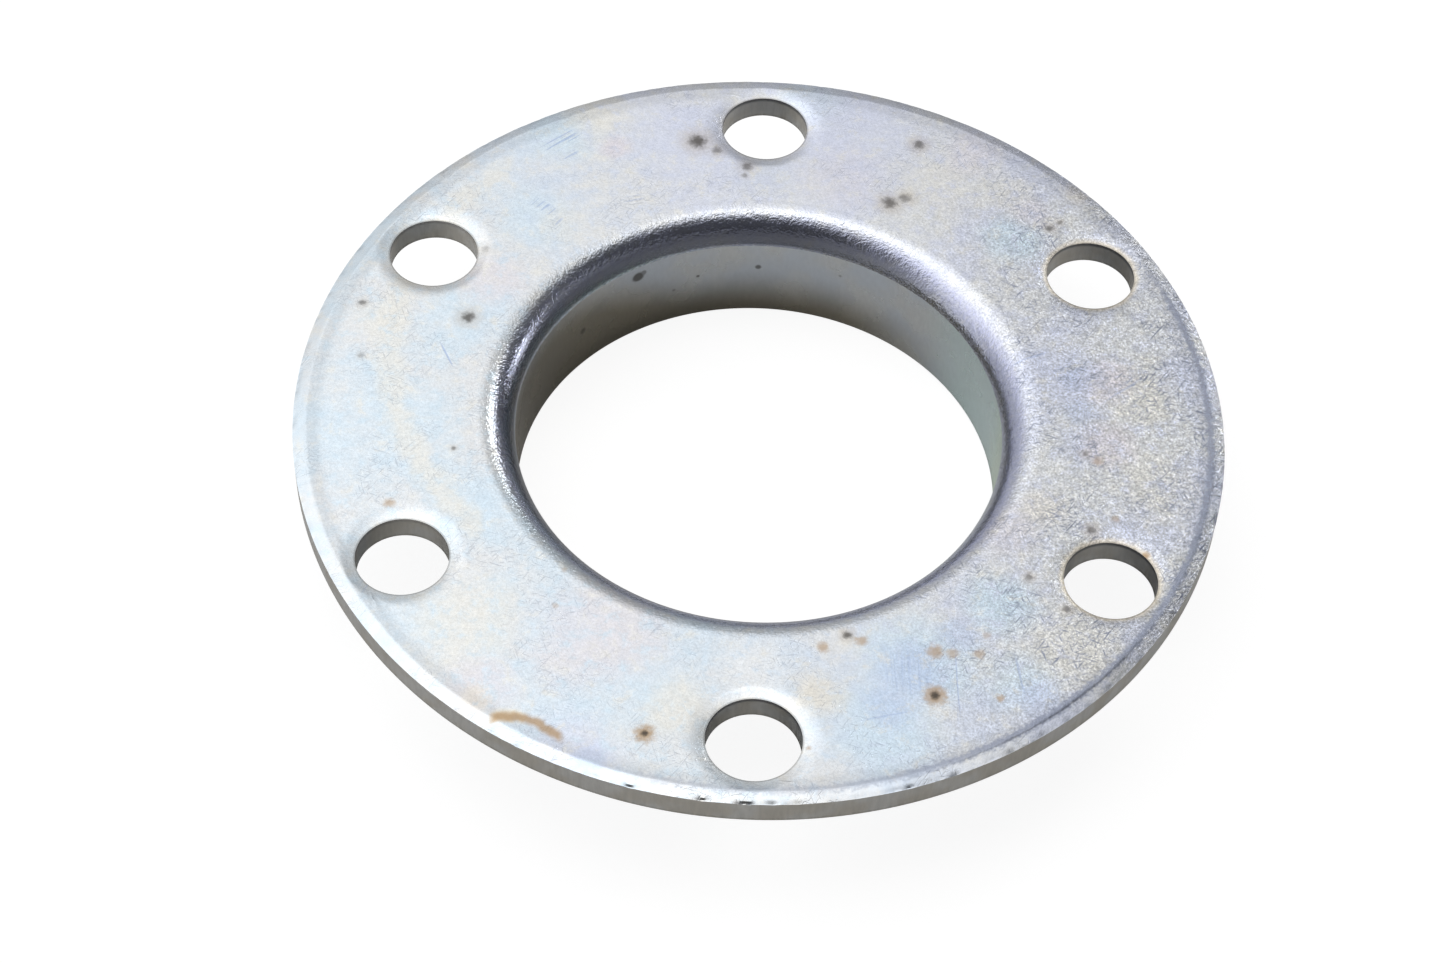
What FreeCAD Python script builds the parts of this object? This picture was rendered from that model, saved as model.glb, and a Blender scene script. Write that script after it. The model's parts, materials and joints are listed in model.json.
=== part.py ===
import FreeCAD, Part

import math
import os

# A pressed flange with a short drawn neck: one piece of zinc plated sheet steel.
#
# Frame: millimetres, +Z up. Z is the bore's axis. The neck points down and its trimmed end lies in z = 0,
# so the part stands on its neck. The plate is at the top, with its upper face at z = overall_height.
#
# How it is made decides its shape. The blank is cut and the bolt holes are pierced from the upper side, which
# pulls the sheet's upper edge down at the rim and at each hole (the "roll") before the metal shears straight.
# Then a punch draws the middle down into a neck. It irons the neck's wall thinner than the sheet, and where
# its straight cut meets the bend of the lip there is a faint crease.

# Driving dimensions, in millimetres and degrees. Each can be set by itself.
plate_diameter = 92.0
sheet_thickness = 3.0
overall_height = 12.7  # from the neck's trimmed end to the plate's upper face

bore_diameter = 48.5  # a close slip fit round a 48.3 mm pipe
neck_wall = 2.4  # the drawn neck's wall, thinner than the sheet
neck_edge_break = 0.3  # radius on both edges of the neck's trimmed end
lip_radius = 4.1  # bend of the upper face as it turns down into the bore
lip_sweep = 70.0  # degrees that the bend turns before the ironed wall cuts it off
under_bend_radius = 1.5  # inner bend, between the plate's under face and the neck's outside

bolt_hole_count = 6
bolt_circle_diameter = 78.0
bolt_hole_diameter = 9.0  # clearance for M8
first_hole_angle = 90.0  # degrees from +X, so one hole lies on +Y

rim_roll_width = 1.4  # how far in from the rim the upper face starts to fall
rim_roll_depth = 0.43  # how far it has fallen at the rim
hole_roll_width = 1.0  # less than what is left of the plate between a hole and the rim's roll
hole_roll_depth = 0.4
rim_foot_break = 0.15  # small break of the rim's lower edge

cutter_overrun = 1.0  # how far the hole cutter stands past both faces

# Worked out from the driving dimensions.
plate_radius = plate_diameter / 2
bore_radius = bore_diameter / 2
neck_outer_radius = bore_radius + neck_wall
plate_under_z = overall_height - sheet_thickness
bolt_hole_radius = bolt_hole_diameter / 2
bolt_circle_radius = bolt_circle_diameter / 2

origin = FreeCAD.Vector(0, 0, 0)
up = FreeCAD.Vector(0, 0, 1)


def line(start, end):
    """A straight edge in the XZ plane between two (radius, height) points."""
    points = [FreeCAD.Vector(radius, 0, height) for radius, height in (start, end)]
    return Part.LineSegment(*points).toShape()


def arc(centre, radius, start_angle, end_angle):
    """An arc in the XZ plane about a (radius, height) centre. Angles run in degrees from +X towards +Z."""
    points = []
    for angle in (start_angle, (start_angle + end_angle) / 2, end_angle):
        turn = math.radians(angle)
        points.append(FreeCAD.Vector(centre[0] + radius * math.cos(turn), 0, centre[1] + radius * math.sin(turn)))
    return Part.Arc(*points).toShape()


def revolved(edges):
    """The solid that a closed outline in the XZ plane makes when it turns once about Z."""
    return Part.Face(Part.Wire(edges)).revolve(origin, up, 360)


def roll_radius_and_angle(width, depth):
    """The arc that leaves the upper face in line with it and falls by depth over width: its radius, and the
    angle in degrees that it turns through."""
    radius = (width**2 + depth**2) / (2 * depth)
    return radius, math.degrees(math.asin(width / radius))


def pressed_blank():
    """Plate, lip and neck in one outline, from the rim's foot up, inwards, down the bore and back outside."""
    top = overall_height
    rim_radius, rim_angle = roll_radius_and_angle(rim_roll_width, rim_roll_depth)
    rim_centre = (plate_radius - rim_roll_width, top - rim_radius)

    lip_turn = math.radians(lip_sweep)
    lip_centre = (bore_radius + lip_radius * math.sin(lip_turn), top - lip_radius)
    crease_z = top - lip_radius * (1 - math.cos(lip_turn))

    edge = neck_edge_break
    bend = under_bend_radius
    foot = rim_foot_break
    outline = [
        line((plate_radius, plate_under_z + foot), (plate_radius, top - rim_roll_depth)),
        arc(rim_centre, rim_radius, 90 - rim_angle, 90),
        line((plate_radius - rim_roll_width, top), (lip_centre[0], top)),
        arc(lip_centre, lip_radius, 90, 90 + lip_sweep),
        line((bore_radius, crease_z), (bore_radius, edge)),
        arc((bore_radius + edge, edge), edge, 180, 270),
        line((bore_radius + edge, 0), (neck_outer_radius - edge, 0)),
        arc((neck_outer_radius - edge, edge), edge, 270, 360),
        line((neck_outer_radius, edge), (neck_outer_radius, plate_under_z - bend)),
        arc((neck_outer_radius + bend, plate_under_z - bend), bend, 180, 90),
        line((neck_outer_radius + bend, plate_under_z), (plate_radius - foot, plate_under_z)),
        line((plate_radius - foot, plate_under_z), (plate_radius, plate_under_z + foot)),
    ]
    return revolved(outline)


def hole_cutter():
    """What piercing takes away, on the Z axis: a cylinder that opens out by the roll at the upper face."""
    top = overall_height
    low = plate_under_z - cutter_overrun
    high = top + cutter_overrun
    radius, angle = roll_radius_and_angle(hole_roll_width, hole_roll_depth)
    mouth = bolt_hole_radius + hole_roll_width
    outline = [
        line((0, low), (bolt_hole_radius, low)),
        line((bolt_hole_radius, low), (bolt_hole_radius, top - hole_roll_depth)),
        arc((mouth, top - radius), radius, 90 + angle, 90),
        line((mouth, top), (mouth, high)),
        line((mouth, high), (0, high)),
        line((0, high), (0, low)),
    ]
    return revolved(outline)


def pressed_flange():
    flange = pressed_blank()
    for number in range(bolt_hole_count):
        angle = math.radians(first_hole_angle + number * 360 / bolt_hole_count)
        cutter = hole_cutter()
        cutter.translate(FreeCAD.Vector(math.cos(angle), math.sin(angle), 0) * bolt_circle_radius)
        flange = flange.cut(cutter)
    return flange


os.makedirs("parts", exist_ok=True)
shape = pressed_flange()
shape.exportStep("parts/pressed_flange.step")
print("pressed_flange", "valid", shape.isValid(), "solids", len(shape.Solids), "volume mm3", round(shape.Volume, 1))
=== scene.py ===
import json
import math
from types import SimpleNamespace

import bmesh
import bpy
from mathutils import Matrix, Vector, noise


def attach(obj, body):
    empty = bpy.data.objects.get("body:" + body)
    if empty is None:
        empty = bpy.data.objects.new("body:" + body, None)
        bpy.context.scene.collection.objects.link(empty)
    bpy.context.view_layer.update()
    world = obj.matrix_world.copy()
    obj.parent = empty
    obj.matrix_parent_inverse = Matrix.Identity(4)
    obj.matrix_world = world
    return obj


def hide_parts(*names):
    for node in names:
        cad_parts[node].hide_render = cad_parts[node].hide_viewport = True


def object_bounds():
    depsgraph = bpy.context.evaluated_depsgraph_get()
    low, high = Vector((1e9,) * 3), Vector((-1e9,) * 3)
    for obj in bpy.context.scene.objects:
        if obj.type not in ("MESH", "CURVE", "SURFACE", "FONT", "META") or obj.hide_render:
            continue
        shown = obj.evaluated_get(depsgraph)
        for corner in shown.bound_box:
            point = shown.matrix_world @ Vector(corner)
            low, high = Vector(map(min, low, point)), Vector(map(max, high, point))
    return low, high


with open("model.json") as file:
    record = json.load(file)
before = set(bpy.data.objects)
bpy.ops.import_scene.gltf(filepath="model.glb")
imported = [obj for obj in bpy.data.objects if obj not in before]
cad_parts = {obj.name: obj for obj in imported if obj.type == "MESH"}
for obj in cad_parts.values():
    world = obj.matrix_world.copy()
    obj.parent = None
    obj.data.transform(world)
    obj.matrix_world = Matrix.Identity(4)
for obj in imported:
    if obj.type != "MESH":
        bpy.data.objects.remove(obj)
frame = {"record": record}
cadLow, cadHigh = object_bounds()
mounts = {mount["name"]: mount for mount in frame["record"]["mounts"]}
mm = 0.001
zAxis = Vector((0, 0, 1))
origin = Vector((0, 0, 0))
print("frame loaded")

plateRadius = cadHigh.x
topZ = cadHigh.z
underZ = mounts["under_face"]["pos_m"][2]
boreRadius = mounts["bore"]["dims"]["r_mm"] * mm
neckRadius = mounts["neck_outside"]["dims"]["r_mm"] * mm
circleRadius = mounts["bolt_circle"]["dims"]["pcd_mm"] / 2 * mm
holeRadius = mounts["bolt_circle"]["dims"]["hole_r_mm"] * mm
holeCount = mounts["bolt_circle"]["dims"]["count"]
holeTurns = [Matrix.Rotation(2 * math.pi * k / holeCount, 3, "Z") for k in range(holeCount)]
holeCentres = [turn @ Vector((0, circleRadius, 0)) for turn in holeTurns]


# shader maths as plain expressions: a wire is a node's output, and sums on wires add their Math nodes

class Wire:
    def __init__(self, graph, socket):
        self.graph = graph
        self.socket = socket

    def sum(self, operation, first, second):
        return self.graph.node("Math", {"operation": operation}, {0: first, 1: second})

    def __add__(self, other):
        return self.sum("ADD", self, other)

    def __radd__(self, other):
        return self.sum("ADD", other, self)

    def __sub__(self, other):
        return self.sum("SUBTRACT", self, other)

    def __rsub__(self, other):
        return self.sum("SUBTRACT", other, self)

    def __mul__(self, other):
        return self.sum("MULTIPLY", self, other)

    def __rmul__(self, other):
        return self.sum("MULTIPLY", other, self)


class Graph:
    def __init__(self, tree):
        self.tree = tree
        tree.nodes.clear()

    def node(self, kind, settings=None, inputs=None, output=0):
        made = self.tree.nodes.new("ShaderNode" + kind)
        for name, value in (settings or {}).items():
            setattr(made, name, value)
        for name, value in (inputs or {}).items():
            if isinstance(value, Wire):
                self.tree.links.new(value.socket, made.inputs[name])
            else:
                made.inputs[name].default_value = value
        return Wire(self, made.outputs[output] if made.outputs else None)

    def ramp(self, value, low, high, start=0.0, end=1.0):
        # start below low, end above high, and an eased change between
        settings = {"interpolation_type": "SMOOTHSTEP"}
        return self.node("MapRange", settings, {0: value, 1: low, 2: high, 3: start, 4: end})

    def mix(self, share, first, second, blend="MIX"):
        settings = {"data_type": "RGBA", "blend_type": blend}
        return self.node("Mix", settings, {0: share, 6: first, 7: second}, output=2)

    def tone(self, colour, level):
        # lighter or darker by a number
        grey = self.node("CombineColor", {}, {0: level, 1: level, 2: level})
        return self.mix(1.0, colour, grey, "MULTIPLY")

    def larger(self, first, second):
        return self.node("Math", {"operation": "MAXIMUM"}, {0: first, 1: second})

    def smaller(self, first, second):
        return self.node("Math", {"operation": "MINIMUM"}, {0: first, 1: second})

    def size(self, value):
        return self.node("Math", {"operation": "ABSOLUTE"}, {0: value})

    def distance(self, first, second):
        return self.node("VectorMath", {"operation": "DISTANCE"}, {0: first, 1: second}, output=1)

    def length(self, place):
        return self.node("VectorMath", {"operation": "LENGTH"}, {0: place}, output=1)

    def noise(self, place, scale, detail=2.0, roughness=0.5, distortion=0.0):
        inputs = {"Vector": place, "Scale": scale, "Detail": detail, "Roughness": roughness,
                  "Distortion": distortion}
        return self.node("TexNoise", {}, inputs)

    def stretched(self, place, turn, scale):
        return self.node("Mapping", {}, {"Vector": place, "Rotation": turn, "Scale": scale})

    def split(self, place, count=3):
        return [self.node("SeparateXYZ", {}, {0: place}, output=axis) for axis in range(count)]


def rgb(red, green, blue):
    return (red, green, blue, 1.0)


# the finish: its lengths and places are in millimetres

zinc = {
    "sky": (0.655, 0.785, 0.89),
    "periwinkle": (0.675, 0.715, 0.86),
    "silver": (0.76, 0.775, 0.79),
    "cream": (0.805, 0.79, 0.735),
    "lilac": (0.755, 0.725, 0.775),
    "amber": (0.86, 0.755, 0.56),
    "rust": (0.50, 0.345, 0.20),
    "pale": (0.85, 0.865, 0.875),
    "slate": (0.50, 0.60, 0.84),
    "dark": (0.115, 0.105, 0.095),
    "stained": (0.50, 0.42, 0.33),
    "scratch": (0.30, 0.40, 0.66),
    "wisp": (0.22, 0.25, 0.34),
    "turned": (0.55, 0.58, 0.80),  # where the lip turns over
    "ring": (0.29, 0.32, 0.41),  # painted shade: a dark line just inside the rim, where it starts to roll
    "outline": (0.16, 0.15, 0.14),  # round the holes
    "roughness": 0.22,
    "grainDepth": 0.020,  # mm
    "dentDepth": 0.026,
    "streakDepth": 0.014,
    "lipDepth": 0.050,
    "glintDepth": 0.020,
    "wispDepth": 0.006,
    "scratchDepth": 0.004,
    "fleckDepth": 0.020,
    "ringInset": 1.35,  # how far in from the rim that painted dark line runs, mm
    "drawn": 0.60,  # how much darker the lower part of the lip is made: partly the plating drawn thinnest, partly painted shade
}

# a spot or patch: x, y, radius in mm, and how strong it is
darkFlecks = [
    (-7.1, 36.5, 1.1, 0.85), (-5.0, 35.3, 0.65, 0.6), (-1.8, 33.1, 0.7, 0.65), (-2.0, 31.8, 0.4, 0.45),
    (-29.6, 10.7, 0.8, 0.8), (-40.4, 12.2, 0.45, 0.6), (16.4, 37.1, 0.75, 0.7), (13.2, 28.5, 0.9, 0.75),
    (14.8, 29.3, 0.75, 0.6), (29.8, 25.7, 0.5, 0.6), (30.9, 26.6, 0.35, 0.55), (-29.8, -6.3, 0.3, 0.6),
    (8.6, -27.1, 0.5, 0.8), (16.7, -33.6, 0.55, 0.85), (32.2, -13.7, 0.55, 0.65), (25.9, -19.6, 0.45, 0.55),
    (29.4, -23.2, 0.45, 0.6), (32.0, -4.3, 0.35, 0.6), (-10.0, -38.9, 0.4, 0.8), (-28.5, 20.2, 0.5, 0.3),
    # the last five spots, at the rim's edge, are painted shade in its nicks
    (-39.9, 5.2, 0.4, 0.35), (-0.7, -45.95, 0.3, 0.6), (-1.4, -45.95, 0.25, 0.5), (-4.6, -45.75, 0.22, 0.6),
    (-5.5, -45.65, 0.16, 0.8), (-11.1, -44.65, 0.2, 0.7),
]
rustFlecks = [
    (-10.0, -38.9, 1.2, 0.8), (16.7, -33.6, 1.3, 0.75), (9.9, -27.7, 0.7, 0.65), (6.3, -28.6, 0.7, 0.65),
    (16.8, -28.7, 0.95, 0.7), (18.4, -28.8, 0.7, 0.55), (20.9, -28.8, 0.65, 0.55), (22.7, -33.7, 0.5, 0.7),
    (-35.5, -13.3, 0.7, 0.6), (5.0, -39.8, 0.35, 0.7), (37.3, -16.4, 0.5, 0.9), (34.6, -12.3, 0.5, 0.4),
    (21.7, -26.6, 0.5, 0.4), (-18.9, -24.8, 0.4, 0.35), (-18.3, -20.6, 0.35, 0.35), (33.2, -5.2, 0.7, 0.45),
]
wallSpots = [  # on the neck's wall: direction in degrees, height, radius and strength
    (121.9, 8.6, 0.75, 0.85), (120.4, 8.9, 0.4, 0.6), (105.8, 6.0, 0.3, 0.7), (90.7, 6.75, 0.4, 0.75),
    (139.1, 5.2, 0.55, 0.6), (112.0, 4.6, 0.25, 0.4), (70.0, 7.4, 0.25, 0.4),
]
tintPatches = {
    "sky": [(-22.5, 37, 4, 0.8), (5, 43, 3.5, 0.6), (26, 24, 3.2, 0.8), (23, -23, 3.4, 0.9),
            (15, -30, 5, 0.9), (12, -37, 4.5, 0.9), (25, -32, 3.2, 0.7), (-13, -35, 4.5, 0.5),
            (-33, -27, 5, 0.5), (-24, 25, 4, 0.6), (-39, -5, 7, 0.4), (-26, -14, 4, 0.5)],
    "periwinkle": [(-8, 37, 7, 0.6), (10, 38, 8, 0.6), (31, 5, 4, 0.9), (32, -3, 2.5, 0.7),
                   (43.5, 6, 3, 0.7), (43.5, -7, 3, 0.6), (30, 33, 4, 0.5), (20, 21, 3, 0.4),
                   (-17, -41, 4, 0.6), (37, 24, 4, 0.5), (27, -35, 3, 0.5), (-8, 29, 3, 0.4)],
    "cream": [(-18, 40, 3, 0.6), (18, 31, 4, 0.5), (26, 30, 2.5, 0.6), (38, 3, 3.5, 0.7), (39, -8, 4, 0.6),
              (30, -28, 4, 0.7), (20, -38, 3.5, 0.2), (-7, -36, 3, 0.7), (-27, -27, 5, 0.6),
              (-30, 17, 4, 0.3), (-20, 24, 3, 0.5), (-38.5, 10, 2.4, 0.5)],
    "lilac": [(34.5, 5, 2.6, 0.8), (34.5, -3, 2.6, 0.8), (22, 36, 3, 0.6), (28, 27.5, 2, 0.6),
              (24, -14, 3, 0.6), (-15, -28, 6, 0.6), (-25, -34, 3, 0.6), (-15.8, 35.2, 1.5, 0.9),
              (8, 32, 4, 0.4), (-28, 16, 3.2, 0.6)],
    "pale": [(0, -31, 3.2, 0.6), (-4, -43, 3, 0.3)],
    "slate": [(14.5, -31, 3.2, 0.5), (12.5, -35, 2.4, 0.45), (19, -26.5, 2, 0.45),
              (20.5, -36.5, 2.6, 0.3), (0, 32, 3, 0.25), (-15, -41.5, 1.8, 0.4), (32, 5.5, 2.0, 0.35),
              (31.5, 1, 1.6, 0.3), (26, -33, 2, 0.3)],
    "amber": [(6, -34, 2.4, 0.45), (-25.5, -35.5, 1.5, 0.35), (33, 31, 1.5, 0.3), (28, -11, 2, 0.25)],
}

# a patch of parallel scratches: x, y, direction in degrees, length and width in mm, strength
scratchPatches = [
    (-21.6, 35.9, 42, 5.2, 2.0, 0.9), (-20.5, 33.9, 42, 2.4, 0.9, 0.7), (-22.8, 26.3, 52, 1.6, 3.0, 0.8),
    (-21.3, 24.3, 60, 1.6, 1.0, 0.6), (-31.5, 5.6, 116, 4.0, 0.45, 0.9), (18.7, -32.3, 92, 10.0, 0.35, 0.7),
    (-13.5, 27.8, 20, 2.6, 1.2, 0.5), (24.5, -31.0, 100, 5.0, 0.6, 0.6), (36.0, 4.0, 40, 6.0, 1.0, 0.5),
    (14.2, -31.0, 93, 6.0, 4.5, 0.3), (-36.5, -22.0, 70, 5.0, 1.2, 0.4), (27.0, 8.0, 25, 5.0, 0.8, 0.5),
    (12.0, -36.0, 15, 6.0, 0.4, 0.5),
]

# fine scratches everywhere: direction in radians, how drawn out, and a shift that sets them apart
wispRuns = [(0.35, 0.6, 3.0), (1.25, 0.8, 11.0), (2.2, 0.5, 23.0), (2.9, 0.9, 31.0)]

# a stain along part of a circle, in mm, from one x to another and above a lowest y
rustArc = {"centre": (-22.6, -44.4, 0), "radius": 6.85, "width": 0.85, "wander": 1.4, "strength": 0.85,
           "from": -24.6, "to": -17.0, "lowest": -40.6}
amberArc = {"centre": (-22.6, -44.4, 0), "radius": 6.95, "width": 1.1, "wander": 1.4, "strength": 0.8,
            "from": -24.6, "to": -20.6, "lowest": -40.2}
creamArc = {"centre": (-5, 8, 0), "radius": 32.2, "width": 2.3, "wander": 3.0, "strength": 0.65,
            "from": -41.0, "to": -26.0, "lowest": -18.0}


def spots(graph, place, wanted, unevenness=1.9, spread=1.0):
    # one mask for a list of spots with soft, uneven edges
    wobble = graph.noise(place, unevenness, 4.0, 0.65)
    mask = 0.0
    for x, y, radius, strength in wanted:
        middle = (x, y, topZ / mm)
        away = graph.distance(place, middle)
        edge = away + wobble * (1.3 * radius)
        spot = graph.ramp(edge, 0.9 * radius * spread, 1.9 * radius * spread, strength, 0.0)
        mask = graph.larger(spot, mask)
    return mask


def arcBand(graph, place, arc):
    # a soft band along part of a circle, between two values of x
    x, y = graph.split(place, 2)
    wobble = graph.noise(place, 0.45, 3.0, 0.55) - 0.5
    away = graph.distance(place, arc["centre"])
    off = graph.size(away - arc["radius"] + wobble * arc["wander"])
    line = graph.ramp(off, 0.2 * arc["width"], arc["width"], arc["strength"], 0.0)
    ends = graph.ramp(x, arc["from"], arc["from"] + 1) * graph.ramp(x, arc["to"] - 1, arc["to"], 1.0, 0.0)
    return line * ends * graph.ramp(y, arc["lowest"], arc["lowest"] + 1)


def hatching(graph, place, patches):
    # bundles of fine parallel lines, fading out at their ends
    mask = 0.0
    for x, y, degrees, length, width, strength in patches:
        moved = graph.node("VectorMath", {"operation": "SUBTRACT"}, {0: place, 1: (x, y, 0)})
        turned = graph.stretched(moved, (0, 0, -math.radians(degrees)), (1, 1, 1))
        along, across = graph.split(turned, 2)
        window = graph.ramp(graph.size(along), 0.25 * length, 0.5 * length, strength, 0.0)
        window = window * graph.ramp(graph.size(across), 0.3 * width, 0.6 * width, 1.0, 0.0)
        fine = graph.stretched(turned, (0, 0, 0), (0.12, 3.2, 1))
        mask = graph.larger(window * graph.ramp(graph.noise(fine, 1.0, 2.0), 0.48, 0.6), mask)
    return mask


def wisps(graph, place):
    # short fine scratches in a few directions, in patches
    marks = 0.0
    for turn, along, shift in wispRuns:
        turned = graph.stretched(place, (0, 0, turn), (1, 1, 1))
        lines = graph.stretched(turned, (0, 0, 0), (along, 5.4, 1))
        moved = graph.node("VectorMath", {"operation": "ADD"}, {0: lines, 1: (shift, shift, 0)})
        marks = graph.larger(graph.ramp(graph.noise(moved, 1.0, 1.0, 0.5, 0.4), 0.62, 0.72), marks)
    return marks * graph.ramp(graph.noise(place, 0.13, 1.0), 0.40, 0.62)


def holeEdge(graph, flat):
    # distance from the nearest hole's edge
    nearest = 100.0  # further than any
    for centre in holeCentres:
        middle = (centre.x / mm, centre.y / mm, 0)
        nearest = graph.smaller(graph.distance(flat, middle), nearest)
    return nearest - holeRadius / mm


def flatPlace(graph, place):
    x, y = graph.split(place, 2)
    return graph.node("CombineXYZ", {}, {0: x, 1: y, 2: 0.0})


def millimetres(graph):
    place = graph.node("TexCoord", {}, {}, output=3)
    return graph.stretched(place, (0, 0, 0), (1000, 1000, 1000))


def finish(graph, colour, roughness, height):
    # height is in millimetres
    bump = graph.node("Bump", {}, {"Strength": 1.0, "Distance": mm, "Height": height})
    inputs = {"Base Color": colour, "Roughness": roughness, "Metallic": 1.0, "Normal": bump}
    shader = graph.node("BsdfPrincipled", {}, inputs)
    graph.node("OutputMaterial", {}, {0: shader})


def newMaterial(name):
    material = bpy.data.materials.new(name)
    material.use_nodes = True
    return material, Graph(material.node_tree)


def tint(finishes, name):
    return rgb(*finishes[name])


def plateAreas(graph):
    # the plating is coarser on one side and on the lip, and rubbed smooth at the rim
    place = millimetres(graph)
    flat = flatPlace(graph, place)
    x, y, z = graph.split(place)
    reach = graph.length(flat)
    lipEdge = lipCentre / mm
    rimEdge = plateRadius / mm
    lip = graph.ramp(reach, lipEdge - 1.0, lipEdge + 0.3, 1.0, 0.0)
    deep = graph.ramp(reach, lipEdge - 2.4, lipEdge - 1.3, 1.0, 0.0)
    rim = graph.ramp(reach, rimEdge - 1.5, rimEdge - 1.0)
    rubbed = rim * graph.ramp(y + x * 0.8, -8.0, 8.0, 1.0, 0.0)
    inside = graph.ramp(reach, rimEdge - 3.2, rimEdge - 2.0) * (1 - rim)
    # the right-hand side, where the plating is coarser; grainTone also paints shade on it
    side = graph.ramp(x, 8.0, 36.0) * graph.ramp(y, 24.0, 36.0, 1.0, 0.3)
    coarse = (side * 1.35 + 0.42) * (1 - 0.7 * rubbed)
    return SimpleNamespace(place=place, flat=flat, x=x, y=y, z=z, reach=reach, lip=lip, deep=deep,
                           rubbed=rubbed, inside=inside, side=side, coarse=coarse)


def filmColour(graph, area):
    # a blue that turns from sky to periwinkle across the plate, with placed patches and smaller clouds
    across = graph.ramp(area.x + area.y * 0.5, -28.0, 14.0)
    blue = graph.mix(across, tint(zinc, "sky"), tint(zinc, "periwinkle"))
    drift = graph.noise(area.flat, 0.09, 3.0, 0.55, 0.3)
    colour = graph.mix(graph.ramp(drift, 0.38, 0.60, 0.35, 0.95), blue, tint(zinc, "silver"))
    for name, wanted in tintPatches.items():
        colour = graph.mix(spots(graph, area.place, wanted, 0.22, 1.15), colour, tint(zinc, name))
    for name, arc in (("cream", creamArc), ("amber", amberArc)):
        colour = graph.mix(arcBand(graph, area.flat, arc), colour, tint(zinc, name))
    cloud = graph.noise(area.flat, 0.55, 5.0, 0.68, 0.2)
    colour = graph.mix(graph.ramp(cloud, 0.48, 0.70, 0.0, 0.7), colour, blue)
    colour = graph.mix(graph.ramp(cloud, 0.48, 0.30, 0.0, 0.6), colour, tint(zinc, "cream"))
    return colour, cloud


def grainTone(graph, area, colour):
    # fine and larger specks, a little darker just inside the rim, and painted shade that darkens the coarse
    # right-hand side a little
    blotch = graph.noise(area.flat, 1.15, 3.0, 0.6)
    speck = graph.noise(area.place, 4.2, 4.0, 0.75)
    level = graph.ramp(speck, 0.28, 0.72, 1.0 - 0.25 * area.coarse, 1.0 + 0.21 * area.coarse)
    level = level * graph.ramp(blotch, 0.28, 0.72, 1.0 - 0.08 * area.coarse, 1.0 + 0.06 * area.coarse)
    # painted shade: the right-hand side is made a little darker
    return graph.tone(colour, level * (1 - 0.14 * area.inside) * (1 - 0.07 * area.side))


def lipTone(graph, area, colour, tear):
    # bluer where the lip turns over, and darker on its lower part: partly the plating drawn thinnest,
    # partly painted shade, which fades out towards the right
    depth = topZ / mm - area.z
    over = area.deep * graph.ramp(depth, 1.3, 2.2, 0.8, 0.25) * graph.ramp(tear, 0.35, 0.65, 0.6, 1.0)
    colour = graph.mix(over, colour, tint(zinc, "turned"))
    # painted shade, with the drawn plating: the lip's lower part is darkened, much less on the right
    drawnAndShadedLip = graph.ramp(depth, 0.7, 1.5) * graph.ramp(depth, 2.35, 2.65, 1.0, 0.0)
    drawnAndShadedLip = drawnAndShadedLip * graph.ramp(area.x, 2.0, 20.0, 1.0, 0.1)
    return graph.tone(colour, 1 - drawnAndShadedLip * area.deep * zinc["drawn"])


def edgeTone(graph, area, colour, tear):
    # painted shade as a dark line just inside the rim, on the front and right, and an amber band with a
    # dark outline round the holes
    # painted shade: a dark line along the start of the rim's roll, only on the front and right
    ring = graph.size(area.reach - (plateRadius / mm - zinc["ringInset"]) + tear * 1.2 - 0.6)
    ring = graph.ramp(ring, 0.1, 0.65, 1.0, 0.0) * graph.ramp(area.y, 14.0, 24.0, 1.0, 0.0)
    ring = ring * graph.ramp(area.x, -22.0, -8.0) * graph.ramp(area.x, 0.0, 28.0, 0.35, 0.85)
    colour = graph.mix(ring, colour, tint(zinc, "ring"))
    edge = holeEdge(graph, area.flat)
    around = graph.ramp(edge + tear * 0.6, 0.3, 1.1, 1.0, 0.0) * graph.ramp(area.x, 5.0, 20.0, 0.12, 0.6)
    colour = graph.mix(around, colour, tint(zinc, "amber"))
    return graph.mix(graph.ramp(edge, 0.05, 0.22, 0.45, 0.0), colour, tint(zinc, "outline"))


def plateRelief(graph, area, tear):
    # the grain stands up in relief, and the drawn lip has short streaks across it
    across = graph.node("VectorMath", {"operation": "NORMALIZE"}, {0: area.flat})
    acrossX, acrossY = graph.split(across, 2)
    turns = {0: acrossX * 80.0, 1: acrossY * 80.0, 2: (area.reach + area.z) * 0.8}
    streak = graph.noise(graph.node("CombineXYZ", {}, turns), 1.0, 3.0, 0.6)
    uneven = ((area.side * 2.1 + 0.45) * (1 - area.lip) + area.lip * 0.35) * (1 - 0.75 * area.rubbed)
    grain = graph.noise(area.place, 3.4, 4.0, 0.72, 0.3)
    dent = graph.noise(area.place, 0.8, 3.0)
    height = (grain * zinc["grainDepth"] + dent * zinc["dentDepth"]) * uneven
    height = height + streak * area.lip * zinc["streakDepth"]
    glint = tear * zinc["lipDepth"] + graph.noise(area.place, 5.0, 1.0) * zinc["glintDepth"]
    return height + glint * area.lip


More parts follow.
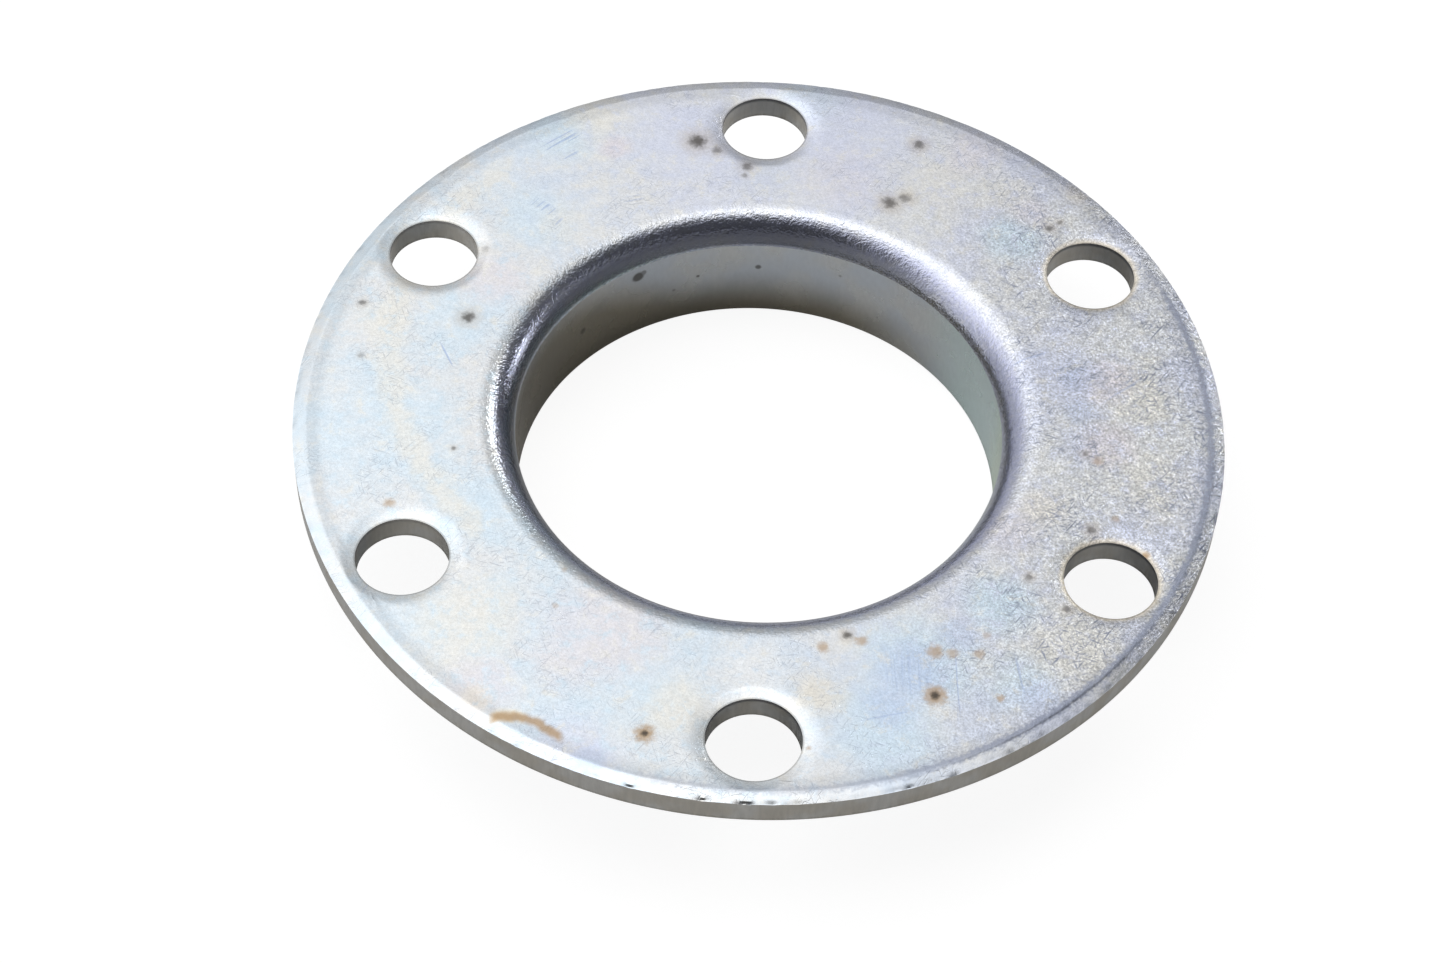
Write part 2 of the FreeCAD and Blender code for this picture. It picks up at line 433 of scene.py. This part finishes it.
def zincPlate():
    material, graph = newMaterial("zincPlate")
    area = plateAreas(graph)
    colour, cloud = filmColour(graph, area)
    colour = grainTone(graph, area, colour)
    wisp = wisps(graph, area.flat)
    colour = graph.mix(wisp * area.coarse * 0.6, colour, tint(zinc, "wisp"))
    tear = graph.noise(area.place, 2.2, 3.0, 0.6)
    colour = lipTone(graph, area, colour, tear)
    colour = edgeTone(graph, area, colour, tear)
    hatch = hatching(graph, area.flat, scratchPatches)
    colour = graph.mix(hatch * 0.6, colour, tint(zinc, "scratch"))
    halo = spots(graph, area.place, darkFlecks, 1.9, 1.7)
    colour = graph.mix(halo * 0.45, colour, tint(zinc, "stained"))
    rust = graph.larger(spots(graph, area.place, rustFlecks), arcBand(graph, area.flat, rustArc))
    colour = graph.mix(rust, colour, tint(zinc, "rust"))
    # dark flecks, and painted shade in the rim's nicks
    dark = spots(graph, area.place, darkFlecks)
    colour = graph.mix(dark, colour, tint(zinc, "dark"))
    height = plateRelief(graph, area, tear)
    height = height - wisp * zinc["wispDepth"] - hatch * zinc["scratchDepth"] - dark * zinc["fleckDepth"]
    roughness = graph.ramp(cloud, 0.3, 0.7, zinc["roughness"] - 0.03, zinc["roughness"] + 0.05)
    roughness = roughness - area.lip * 0.08
    finish(graph, colour, roughness + dark * 0.3 + rust * 0.2, height)
    return material


ironed = {
    "blue": (0.70, 0.75, 0.81),
    "grey": (0.75, 0.765, 0.765),
    # the brown of the painted shade low in the bore
    "tarnish": (0.34, 0.30, 0.22),
    "leaf": (0.75, 0.86, 0.72),
    "sea": (0.74, 0.87, 0.86),
    "grainDepth": 0.0035,  # mm
}


def burnishedWall():
    # where the punch has ironed the neck: smooth, with painted shade that darkens it brown towards the
    # trimmed end of the bore, most on the left
    material, graph = newMaterial("burnishedWall")
    place = millimetres(graph)
    x, y, z = graph.split(place)
    cloud = graph.noise(place, 0.22, 3.0)
    colour = graph.mix(graph.ramp(cloud, 0.35, 0.65), tint(ironed, "blue"), tint(ironed, "grey"))
    raised = z + cloud * 2.0 + graph.ramp(x, -22.0, -6.0, -6.5, 0.0)
    reach = graph.length(flatPlace(graph, place))
    inBore = graph.ramp(reach, boreRadius / mm + 0.3, boreRadius / mm + 0.9, 1.0, 0.0)
    # painted shade: browner and darker low in the bore, where the wall mirrors the shadowed floor, much
    # less on the right
    low = graph.ramp(raised, 1.6, 7.5, 0.88, 0.0) * graph.ramp(x, 8.0, 20.0, 1.0, 0.15) * inBore
    colour = graph.mix(low, colour, tint(ironed, "tarnish"))
    green = graph.mix(graph.ramp(y + cloud * 4.0, 2.0, 8.0), tint(ironed, "leaf"), tint(ironed, "sea"))
    colour = graph.mix(graph.ramp(x + cloud * 3.0, 18.0, 23.0, 0.0, 0.9) * inBore, colour, green)
    dark = 0.0
    for degrees, height, radius, strength in wallSpots:
        way = math.radians(degrees)
        middle = (boreRadius / mm * math.cos(way), boreRadius / mm * math.sin(way), height)
        edge = graph.distance(place, middle) + cloud * radius
        dark = graph.larger(graph.ramp(edge, 0.9 * radius, 1.5 * radius, strength, 0.0), dark)
    colour = graph.mix(dark, colour, tint(zinc, "dark"))
    fine = graph.noise(graph.stretched(place, (0, 0, 0), (1, 1, 0.4)), 2.6, 3.0, 0.6)
    colour = graph.tone(colour, graph.ramp(fine, 0.2, 0.8, 0.96, 1.04))
    finish(graph, colour, graph.ramp(cloud, 0.3, 0.7, 0.22, 0.30), fine * ironed["grainDepth"])
    return material


sheared = {
    "warm": (0.62, 0.59, 0.53),
    "plain": (0.68, 0.67, 0.64),
    "brow": (0.13, 0.13, 0.15),
    "foot": (0.24, 0.22, 0.17),
    "tearDepth": 0.012,  # mm
}


def shearedEdge():
    # cut metal under the plating: satin, warm grey, with upright tear marks and a darker foot, and in
    # the holes a dark line along the top
    material, graph = newMaterial("shearedEdge")
    place = millimetres(graph)
    x, y, z = graph.split(place)
    tear = graph.noise(graph.stretched(place, (0, 0, 0), (2.4, 2.4, 0.5)), 1.0, 4.0, 0.6)
    cloud = graph.noise(place, 0.3, 3.0)
    colour = graph.mix(graph.ramp(cloud, 0.38, 0.62), tint(sheared, "warm"), tint(sheared, "plain"))
    colour = graph.tone(colour, graph.ramp(tear, 0.2, 0.8, 0.9, 1.08))
    reach = graph.length(flatPlace(graph, place))
    inHole = graph.ramp(reach, plateRadius / mm - 1.0, plateRadius / mm - 0.5, 1.0, 0.0)
    brow = graph.ramp(z + tear * 0.2, topZ / mm - 0.75, topZ / mm - 0.4) * inHole
    brow = brow * graph.ramp(x, -30.0, 0.0, 0.3, 0.75)
    colour = graph.mix(brow, colour, tint(sheared, "brow"))
    foot = graph.ramp(z + tear * 0.5, underZ / mm + 0.25, underZ / mm + 0.85, 0.5, 0.0)
    colour = graph.mix(foot, colour, tint(sheared, "foot"))
    finish(graph, colour, graph.ramp(tear, 0.3, 0.7, 0.36, 0.46), tear * sheared["tearDepth"])
    return material


# the pressing

flange = {
    "arcSteps": 160,  # round one sector, which has one hole
    "sideSteps": 20,  # along a sector's straight sides
    "lipSteps": 18,
    "breakSteps": 4,
    "filletSteps": 8,
    "lipRadius": 4.1 * mm,
    "lipSweep": math.radians(70),
    "underBend": 1.5 * mm,
    "rimRoll": (1.35 * mm, 0.28 * mm),  # width and depth
    "holeRoll": (1.35 * mm, 0.28 * mm),
    "rollBend": 0.16,  # share of the roll's width that is curved
    "ragged": 0.12 * mm,
    "chipDepth": 0.07 * mm,
    "nicks": [(-95.7, 1.2, 0.14 * mm), (-90.9, 1.3, 0.18 * mm), (-104.0, 0.9, 0.12 * mm),
              (-118.0, 0.8, 0.1 * mm), (-72.0, 0.9, 0.1 * mm)],  # degrees, half width in degrees, depth
    "swayWaves": [(0.10, 6 * mm), (0.06, 1.3 * mm)],  # how much the rolls vary, and over what length
    "chipWaves": [(1.0, 0.7 * mm), (0.6, 2.5 * mm)],
    "nickGrain": 0.4 * mm,
    "rimBand": 1.7 * mm,  # strip of the upper face that is meshed finely, inside the rim
    "rimCuts": (1, 0.90, 0.82, 0.77, 0.72, 0.67, 0.55, 0.35, 0.17, 0.06, 0),  # shares of that strip
    "rimWallCuts": (0.08, 0.3, 0.55, 0.8),  # shares of the wall's height
    "holeWallCuts": (0.08, 0.35, 0.65),
    "boreCuts": (0.8, 0.6, 0.4, 0.2),
    "footBreak": 0.15 * mm,
    "endBreak": 0.3 * mm,
    "upperRings": (3, 4, 2),  # cuts across the plate round a hole, each nearer to it
    "underRings": (2,),
    "sharpAngle": math.radians(16),
    "upright": 0.3,  # a wall's normal has a smaller z than this
    "weld": 0.002 * mm,
}

holeSteps = 2 * flange["arcSteps"] + 2 * flange["sideSteps"]
lipCentre = boreRadius + flange["lipRadius"] * math.sin(flange["lipSweep"])
halfSector = math.pi / holeCount
sectorStart = Matrix.Rotation(math.pi / 2 - halfSector, 3, "Z")


def spinBand(bm, points):
    # one sector's share of a band of revolution, from (radius, height) points
    verts = [bm.verts.new(sectorStart @ Vector((radius, 0, height))) for radius, height in points]
    edges = [bm.edges.new(pair) for pair in zip(verts, verts[1:])]
    bmesh.ops.spin(bm, geom=verts + edges, cent=origin, axis=zAxis, angle=2 * halfSector,
                   steps=flange["arcSteps"])


def piercedPlate(bm, inner, outer, hole, height, rings):
    # the flat part of a sector, round its hole
    corners = [sectorStart @ Vector((radius, 0, height)) for radius in (inner, outer)]
    side = [bm.edges.new([bm.verts.new(corner) for corner in corners])]
    bmesh.ops.subdivide_edges(bm, edges=side, cuts=flange["sideSteps"] - 1)
    copy = bmesh.ops.duplicate(bm, geom=bm.verts[:] + bm.edges[:])["geom"]
    copied = [item for item in copy if isinstance(item, bmesh.types.BMVert)]
    bmesh.ops.rotate(bm, verts=copied, cent=origin, matrix=Matrix.Rotation(2 * halfSector, 3, "Z"))
    for corner in corners:
        bmesh.ops.spin(bm, geom=[bm.verts.new(corner)], cent=origin, axis=zAxis, angle=2 * halfSector,
                       steps=flange["arcSteps"])
    bmesh.ops.remove_doubles(bm, verts=bm.verts[:], dist=flange["weld"])
    middle = Vector((0, circleRadius, height))
    bmesh.ops.create_circle(bm, cap_ends=False, radius=hole, segments=holeSteps,
                            matrix=Matrix.Translation(middle))
    bmesh.ops.bridge_loops(bm, edges=bm.edges[:])
    for cuts in rings:
        onHole = {vert for vert in bm.verts if abs((vert.co - middle).length - hole) < flange["weld"]}
        spokes = [edge for edge in bm.edges if (edge.verts[0] in onHole) != (edge.verts[1] in onHole)]
        bmesh.ops.subdivide_edges(bm, edges=spokes, cuts=cuts)


def holeWall(bm, rows):
    # the hole's straight wall, from (radius, height) rows
    centre = Vector((0, circleRadius, 0))
    verts = [bm.verts.new(centre + Vector((radius, 0, height))) for radius, height in rows]
    edges = [bm.edges.new(pair) for pair in zip(verts, verts[1:])]
    bmesh.ops.spin(bm, geom=verts + edges, cent=centre, axis=zAxis, angle=2 * math.pi, steps=holeSteps,
                   use_merge=True)


def merged(parts):
    # one sector from its parts, then copies of it all round
    whole = bmesh.new()
    for make, arguments in parts:
        piece = bmesh.new()
        make(piece, *arguments)
        mesh = bpy.data.meshes.new("part")
        piece.to_mesh(mesh)
        piece.free()
        whole.from_mesh(mesh)
        bpy.data.meshes.remove(mesh)
    bmesh.ops.remove_doubles(whole, verts=whole.verts[:], dist=flange["weld"])
    bmesh.ops.spin(whole, geom=whole.verts[:] + whole.edges[:] + whole.faces[:], cent=origin, axis=zAxis,
                   angle=2 * math.pi * (holeCount - 1) / holeCount, steps=holeCount - 1, use_duplicate=True)
    bmesh.ops.remove_doubles(whole, verts=whole.verts[:], dist=flange["weld"])
    return whole


def arcPoints(centre, radius, start, end, steps):
    turns = [start + (end - start) * k / steps for k in range(steps + 1)]
    return [(centre[0] + radius * math.cos(turn), centre[1] + radius * math.sin(turn)) for turn in turns]


def neckOutline():
    # from the lip's outer edge down the bore, round the trimmed end and up to the plate's under side
    lip = arcPoints((lipCentre, topZ - flange["lipRadius"]), flange["lipRadius"],
                    math.pi / 2, math.pi / 2 + flange["lipSweep"], flange["lipSteps"])
    crease = lip[-1][1]
    cut, steps = flange["endBreak"], flange["breakSteps"]
    bore = [(boreRadius, crease * share) for share in flange["boreCuts"]]
    inEdge = arcPoints((boreRadius + cut, cut), cut, math.pi, 1.5 * math.pi, steps)
    outEdge = arcPoints((neckRadius - cut, cut), cut, 1.5 * math.pi, 2 * math.pi, steps)
    bend = flange["underBend"]
    fillet = arcPoints((neckRadius + bend, underZ - bend), bend, math.pi, math.pi / 2,
                       flange["filletSteps"])
    return lip + bore + inEdge + outEdge + fillet


def rimOutline():
    band, foot = flange["rimBand"], flange["footBreak"]
    top = [(plateRadius - band * share, topZ) for share in flange["rimCuts"]]
    drop = topZ - flange["rimRoll"][1]
    wall = [(plateRadius, drop - (drop - underZ) * share) for share in flange["rimWallCuts"]]
    return top + wall + [(plateRadius, underZ + foot), (plateRadius - foot, underZ)]


def holeOutline():
    drop = topZ - flange["holeRoll"][1]
    foot = flange["footBreak"]
    rows = [(holeRadius, drop - (drop - underZ) * share) for share in flange["holeWallCuts"]]
    return [(holeRadius, topZ)] + rows + [(holeRadius, underZ + foot), (holeRadius + foot, underZ)]


def rollDrop(distance, width, depth):
    # how far the upper face has fallen, this far from the cut edge: a short bend, then straight
    inside = width - distance
    bend = flange["rollBend"] * width
    slope = depth / (width - bend / 2)
    if inside <= 0:
        return 0.0
    if inside < bend:
        return slope * inside ** 2 / (2 * bend)
    return slope * (inside - bend / 2)


def rollEdges(bm):
    # the upper face falls towards the rim and the holes, a little unevenly, and the rim is ragged
    for vert in bm.verts:
        if vert.co.z < topZ - flange["weld"]:
            continue
        spot = vert.co
        flat = Vector((spot.x, spot.y, 0))
        sway = 1.0
        for share, wave in flange["swayWaves"]:
            sway += share * noise.noise(flat / wave)
        width, depth = flange["rimRoll"]
        edge = plateRadius - flat.length
        drop = rollDrop(edge, width * sway, depth)
        if edge < flange["ragged"]:
            chip = 0.0
            for share, wave in flange["chipWaves"]:
                chip += share * max(noise.noise(flat / wave), 0)
            drop += flange["chipDepth"] * chip
            turn = math.degrees(math.atan2(spot.y, spot.x))
            rough = 0.6 + 0.8 * noise.noise(flat / flange["nickGrain"])
            nicks = [deep * rough * max(1 - abs(turn - at) / half, 0) for at, half, deep in flange["nicks"]]
            drop += sum(nicks)
        width, depth = flange["holeRoll"]
        for centre in holeCentres:
            drop += rollDrop(max((flat - centre).length - holeRadius, 0), width * sway, depth)
        spot.z -= drop


def paint(bm):
    # 0 pressed surface, 1 burnished wall, 2 sheared edge
    bm.normal_update()
    for face in bm.faces:
        middle = face.calc_center_median()
        reach = Vector((middle.x, middle.y)).length
        upright = abs(face.normal.z) < flange["upright"]
        if upright and reach < neckRadius + flange["weld"]:
            face.material_index = 1
        elif upright and middle.z > underZ:
            face.material_index = 2
        elif middle.z < flange["endBreak"]:
            face.material_index = 2
        face.smooth = True
    for edge in bm.edges:
        edge.smooth = edge.calc_face_angle(0) < flange["sharpAngle"]


def pressedFlange():
    foot = flange["footBreak"]
    upperRim = plateRadius - flange["rimBand"]
    underNeck = neckRadius + flange["underBend"]
    bm = merged([
        (piercedPlate, (lipCentre, upperRim, holeRadius, topZ, flange["upperRings"])),
        (piercedPlate, (underNeck, plateRadius - foot, holeRadius + foot, underZ, flange["underRings"])),
        (spinBand, (neckOutline(),)),
        (spinBand, (rimOutline(),)),
        (holeWall, (holeOutline(),)),
    ])
    rollEdges(bm)
    bmesh.ops.recalc_face_normals(bm, faces=bm.faces[:])
    paint(bm)
    openEdges = sum(1 for edge in bm.edges if len(edge.link_faces) != 2)
    print("pressed flange:", len(bm.faces), "faces,", openEdges, "open edges")
    mesh = bpy.data.meshes.new("flange_pressing")
    bm.to_mesh(mesh)
    bm.free()
    for material in (zincPlate(), burnishedWall(), shearedEdge()):
        mesh.materials.append(material)
    piece = bpy.data.objects.new("flange_pressing", mesh)
    bpy.context.scene.collection.objects.link(piece)
    return piece


piece = pressedFlange()
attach(piece, "root")
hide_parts("pressed_flange")


# the floor: white to the camera, with the part's shadow

floorLook = {"half": 1.5, "glow": 0.90, "toCamera": 0.24, "toMetal": 0.78}


def floorMaterial():
    material, graph = newMaterial("paleFloor")
    camera = graph.node("LightPath", {}, {}, output=0)
    grey = graph.ramp(camera, 0, 1, floorLook["toMetal"], floorLook["toCamera"])
    colour = graph.node("CombineColor", {}, {0: grey, 1: grey, 2: grey})
    matt = graph.node("BsdfDiffuse", {}, {"Color": colour})
    glow = graph.node("Emission", {}, {"Color": rgb(1, 1, 1), "Strength": camera * floorLook["glow"]})
    both = graph.node("AddShader", {}, {0: matt, 1: glow})
    below = graph.node("NewGeometry", {}, {}, output="Backfacing")
    clear = graph.node("BsdfTransparent")
    graph.node("OutputMaterial", {}, {0: graph.node("MixShader", {}, {0: below, 1: both, 2: clear})})
    return material


def floor():
    bm = bmesh.new()
    bmesh.ops.create_grid(bm, x_segments=1, y_segments=1, size=floorLook["half"])
    mesh = bpy.data.meshes.new("floor")
    bm.to_mesh(mesh)
    bm.free()
    mesh.materials.append(floorMaterial())
    ground = bpy.data.objects.new("floor", mesh)
    bpy.context.scene.collection.objects.link(ground)


floor()


# the studio: a pale wall behind, a tall softbox to the left, one overhead, and a dim front

studio = {
    "wallLow": 0.33,
    "wallHigh": 1.0,
    "leftBox": 0.38,  # how much brighter the left softbox is than the wall
    "topBox": 0.7,
    "dark": 0.065,
    "frontFill": 0.23,
    "lamps": [((0.486, 0.695, 0.53), 0.14, 5.0), ((0.896, 0.362, 0.26), 0.12, 7.0),
              ((0.27, 0.29, 0.92), 0.22, 0.5)],  # direction, size, strength
}


def studioLight():
    world = bpy.data.worlds.new("studio")
    world.use_nodes = True
    bpy.context.scene.world = world
    graph = Graph(world.node_tree)
    way = graph.node("TexCoord", {}, {}, output=0)
    x, y, z = graph.split(way)
    wall = graph.ramp(z, 0.25, 0.92, studio["wallLow"], studio["wallHigh"])
    wall = wall * graph.ramp(x, -0.35, 0.12, 1 + studio["leftBox"], 1.0)
    wall = wall * graph.ramp(x - y * 0.3, -0.25, 0.65, 1.0, 0.08) * graph.ramp(y - x * 0.3, -0.36, 0.26)
    top = graph.ramp(z, 0.93, 0.985) * graph.ramp(y, -0.13, 0.05) * graph.ramp(x, 0.22, 0.46, 1.0, 0.0)
    front = graph.ramp(z, 0.50, 0.74, 1.0, 0.0) * graph.ramp(y, 0.0, 0.28, 1.0, 0.0)
    light = wall + top * studio["topBox"] + front * studio["frontFill"] + studio["dark"]
    for place, reach, strength in studio["lamps"]:
        light = light + graph.ramp(graph.distance(way, place), 0.35 * reach, reach, strength, 0.0)
    camera = graph.node("LightPath", {}, {}, output=0)
    level = graph.node("Mix", {}, {0: camera, 2: light, 3: 1.0})
    lit = graph.node("Background", {}, {"Color": rgb(1, 1, 1), "Strength": level})
    graph.node("OutputWorld", {}, {0: lit})


studioLight()


# the camera, looking down at the plate from the front

shot = {
    "aim": Vector((-3.50, -9.31, 12.7)) * mm,
    "distance": 308.3 * mm,
    "elevation": math.radians(51.75),
    "turn": math.radians(-0.80),
    "roll": math.radians(2.57),
    "lens": 79.08,
}


def placeCamera():
    camera = bpy.data.cameras.new("camera")
    camera.lens = shot["lens"]
    camera.clip_start = 0.01
    holder = bpy.data.objects.new("camera", camera)
    bpy.context.scene.collection.objects.link(holder)
    turn = Matrix.Rotation(shot["turn"], 4, "Z")
    tilt = Matrix.Rotation(math.pi / 2 - shot["elevation"], 4, "X")
    roll = Matrix.Rotation(shot["roll"], 4, "Z")
    back = Matrix.Translation((0, 0, shot["distance"]))
    holder.matrix_world = Matrix.Translation(shot["aim"]) @ turn @ tilt @ back @ roll
    bpy.context.scene.camera = holder


placeCamera()
bpy.context.scene.view_settings.view_transform = "Standard"
print("stage, light and camera set")
